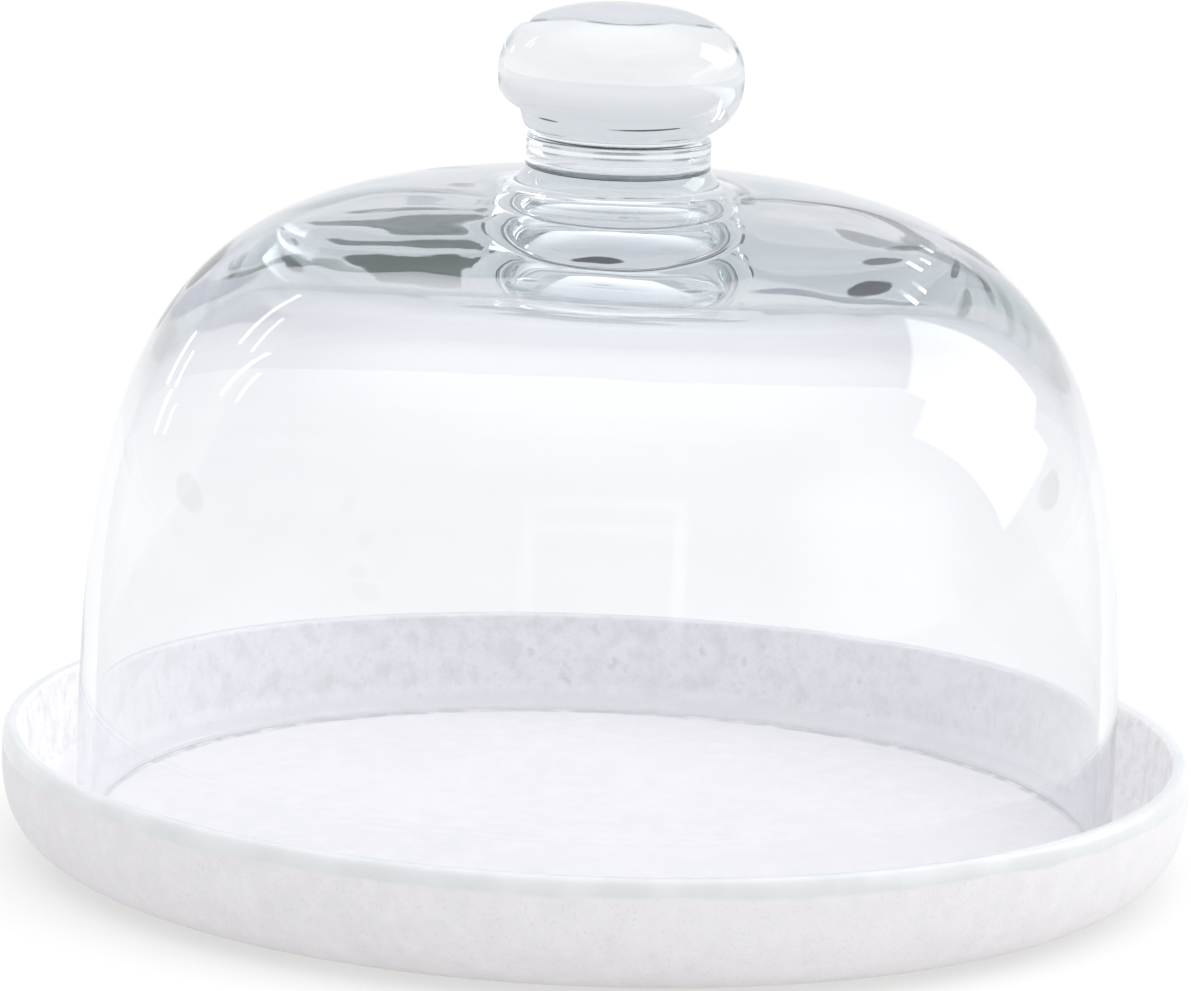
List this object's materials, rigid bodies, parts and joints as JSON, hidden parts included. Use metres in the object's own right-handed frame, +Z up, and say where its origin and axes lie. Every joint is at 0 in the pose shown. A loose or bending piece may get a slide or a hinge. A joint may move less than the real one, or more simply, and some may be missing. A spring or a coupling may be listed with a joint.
{
  "type": "glass dome on a tray",
  "caption": "Clear glass bell with a solid ball knob, standing inside a low round ceramic tray that keeps food covered; the bell lifts off.",
  "frame": {"origin": "middle of the tray's flat foot, on the surface it stands on", "axes": "+Z up along the common axis of the tray, the bell and the knob; +X and +Y are equal by symmetry"},
  "size_m": [0.26, 0.26, 0.1874],
  "materials": {
    "stoneware": "matte white with a thin satin glaze on the lip",
    "clear_glass": "clear, polished, faintly green where it is thick"
  },
  "bodies": {
    "tray": {"plate": "stoneware"},
    "dome": {"dome_shell": "clear_glass", "knob": "clear_glass"}
  },
  "joints": [
    {"name": "dome_lift", "type": "slide", "parent": "tray", "child": "dome", "axis": [0, 0, 1], "range_m": [0, 0.16]}
  ]
}
